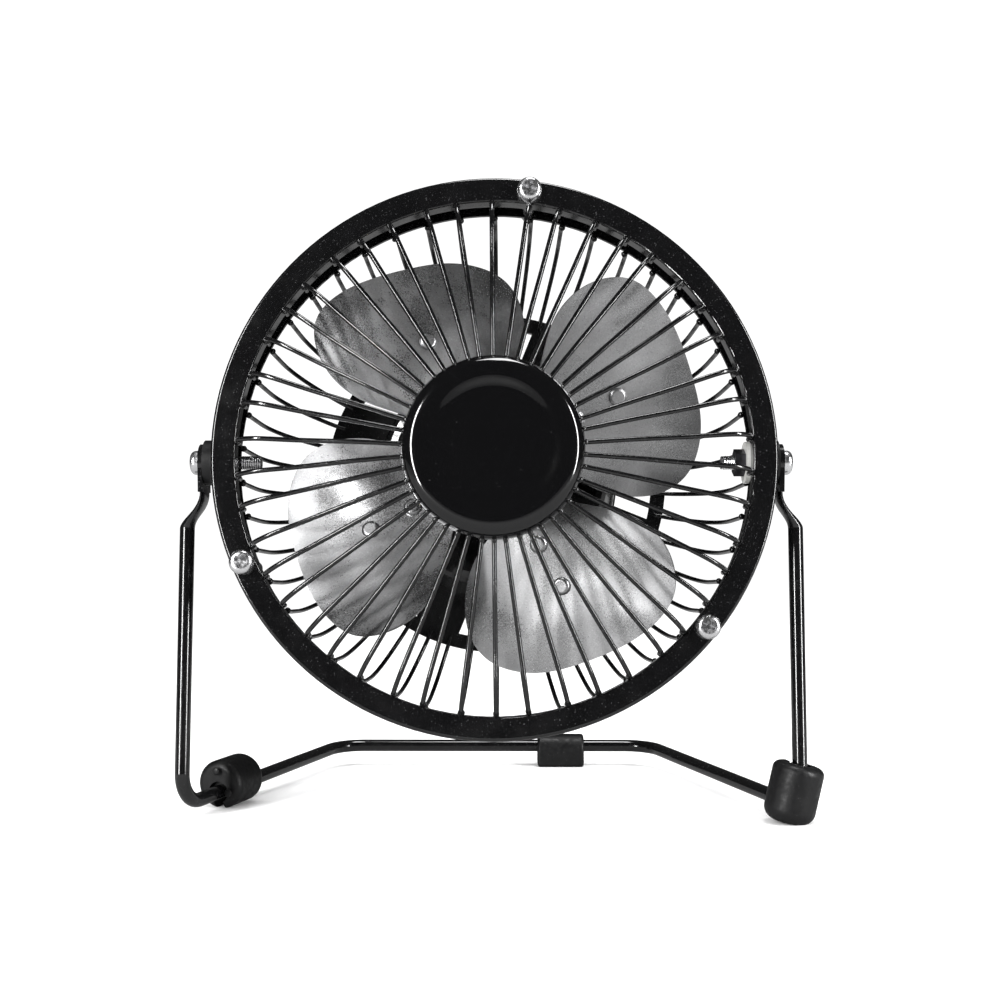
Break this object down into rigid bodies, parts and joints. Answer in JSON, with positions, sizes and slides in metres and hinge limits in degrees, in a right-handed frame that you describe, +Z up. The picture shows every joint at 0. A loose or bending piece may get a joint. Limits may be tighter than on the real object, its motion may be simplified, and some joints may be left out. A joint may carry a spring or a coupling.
{
  "type": "desk fan",
  "caption": "Small metal desk fan: caged four-blade head tilting between the ears of a bent-rod stand on rubber feet, switch on the back.",
  "frame": {"origin": "middle of the footprint on the desk surface", "axes": "+Z up, +X to the right as seen from the front, the fan faces and blows toward -Y"},
  "size_m": [0.1488, 0.0983, 0.1469],
  "materials": {
    "gloss_black_steel": "gloss black enamel",
    "black_cap": "polished",
    "black_moulding": "fine texture",
    "rocker_key": "semi gloss",
    "blade_aluminium": "brushed satin",
    "bright_screws": "bright",
    "zinc_steel": "zinc plated",
    "dark_nuts": "black zinc",
    "foot_rubber": "matte",
    "nylon": "translucent natural",
    "motor_steel": "plated",
    "ferrite": "ground",
    "laminations": "raw",
    "copper": "enamelled copper",
    "carbon": "carbon",
    "end_moulding": "natural",
    "bronze": "sintered",
    "brass_tags": "plated",
    "lead_sleeve": "pvc"
  },
  "bodies": {
    "stand": {"stand_rod": "gloss_black_steel", "left_foot": "foot_rubber", "right_foot": "foot_rubber", "rear_foot": "foot_rubber"},
    "head": {"front_ring": "gloss_black_steel", "rear_ring": "gloss_black_steel", "front_grille_wires": "gloss_black_steel", "rear_grille_wires": "gloss_black_steel", "front_hub_plate": "gloss_black_steel", "front_cap": "black_cap", "cap_screw": "zinc_steel", "ring_screws": "bright_screws", "ring_nuts": "zinc_steel", "pivot_bolts": "bright_screws", "pivot_washers": "nylon", "pivot_nuts": "dark_nuts", "pivot_spacers": "foot_rubber", "rear_plate": "gloss_black_steel", "motor_cup": "gloss_black_steel", "motor_cup_screws": "zinc_steel", "motor_screws": "zinc_steel", "motor_can": "motor_steel", "motor_magnets": "ferrite", "motor_end_bell": "end_moulding", "motor_brushes": "carbon", "motor_bushes": "bronze", "rear_cover": "black_moulding", "rear_cover_screws": "zinc_steel", "switch_body": "black_moulding", "switch_terminals": "brass_tags", "motor_leads": "lead_sleeve", "cable_gland": "foot_rubber"},
    "rotor": {"motor_shaft": "zinc_steel", "armature_core": "laminations", "armature_coils": "copper", "commutator": "copper", "hub_bush": "brass_tags", "blade_spider": "zinc_steel", "blade_rivets": "blade_aluminium", "blade_1": "blade_aluminium", "blade_2": "blade_aluminium", "blade_3": "blade_aluminium", "blade_4": "blade_aluminium"},
    "rocker": {"switch_rocker": "rocker_key"}
  },
  "joints": [
    {"name": "head_tilt", "type": "hinge", "parent": "stand", "child": "head", "pos_m": [-0.00104, -0.02385, 0.0824], "axis": [-1, 0, 0], "range_deg": [-180, 180]},
    {"name": "rotor_spin", "type": "hinge", "parent": "head", "child": "rotor", "pos_m": [-0.00104, -0.02385, 0.0824], "axis": [0, 0.9936, -0.1132], "continuous": true},
    {"name": "switch_rock", "type": "hinge", "parent": "head", "child": "rocker", "pos_m": [-0.00104, 0.0184, 0.08664], "axis": [1, 0, 0], "range_deg": [0, 18]}
  ]
}
